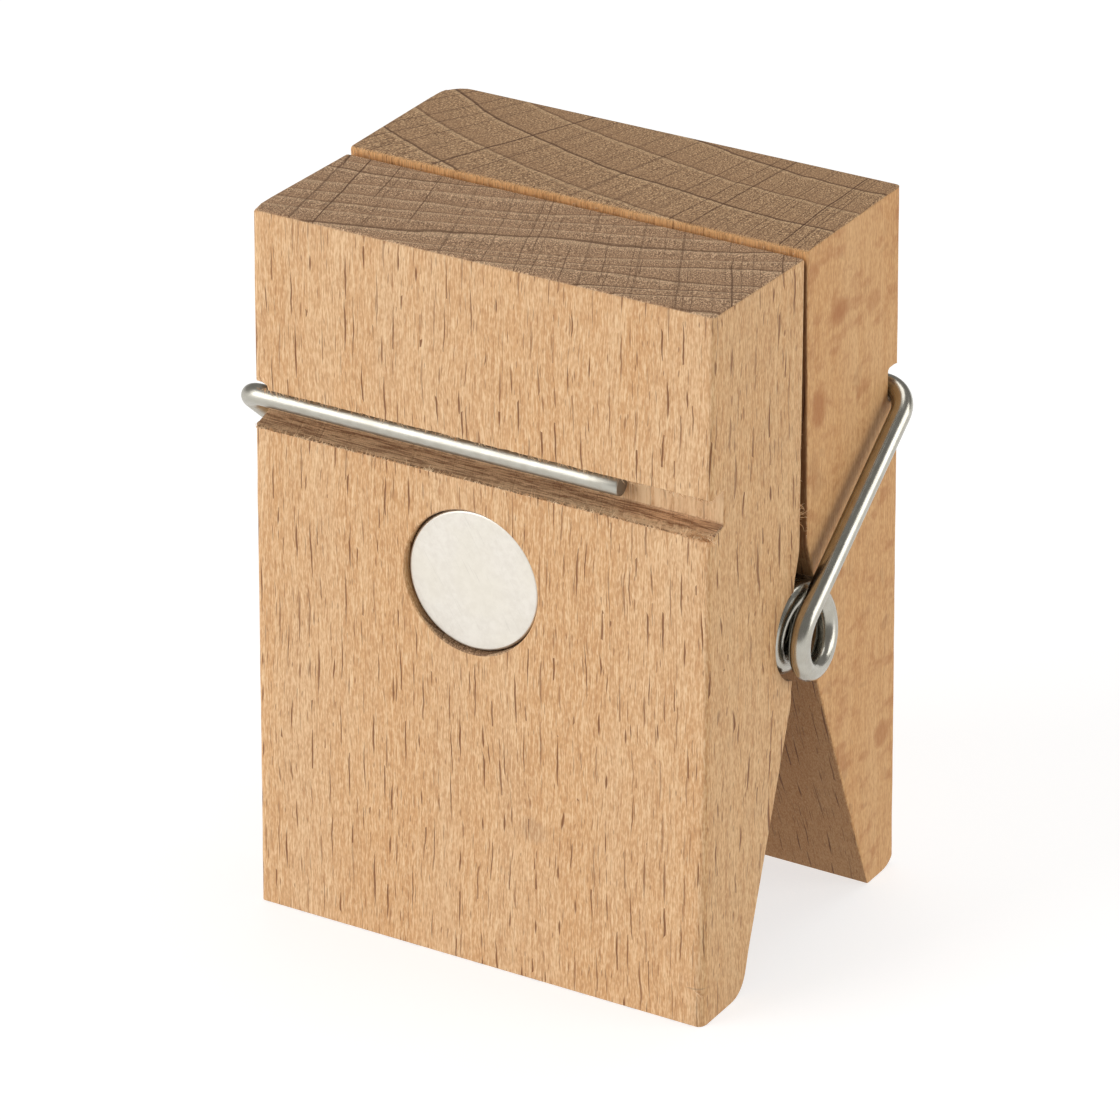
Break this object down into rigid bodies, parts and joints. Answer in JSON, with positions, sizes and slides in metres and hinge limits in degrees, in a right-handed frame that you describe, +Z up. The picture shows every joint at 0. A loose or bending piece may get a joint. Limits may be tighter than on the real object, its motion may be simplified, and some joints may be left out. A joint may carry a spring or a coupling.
{
  "type": "clothespin",
  "caption": "Wide block clothespin in beech: jaws joined by a torsion spring with arms in outer grooves, standing on its legs, with a round magnet set in the front face.",
  "frame": {"origin": "middle of the footprint, on the plane the two legs stand on", "axes": "+Z up through the jaw tips, +X across the width along the spring coil, -Y out of the face that holds the magnet"},
  "size_m": [0.0584, 0.0404, 0.077],
  "materials": {
    "beech_back": "planed, unfinished",
    "beech_front": "planed, unfinished",
    "spring_wire": "bright nickel plated",
    "magnet_nickel": "satin nickel plated",
    "glue": "set resin"
  },
  "bodies": {
    "back_jaw_body": {"back_jaw": "beech_back", "spring_coil": "spring_wire", "spring_back_arm": "spring_wire"},
    "front_jaw_body": {"front_jaw": "beech_front", "spring_front_arm": "spring_wire", "disc_magnet": "magnet_nickel", "magnet_glue": "glue"}
  },
  "joints": [
    {"name": "jaw_hinge", "type": "hinge", "parent": "back_jaw_body", "child": "front_jaw_body", "pos_m": [0, -0.0002, 0.036], "axis": [1, 0, 0], "range_deg": [0, 37], "stiffness_Nm_per_rad": 0.38, "springref_deg": -68.75}
  ]
}
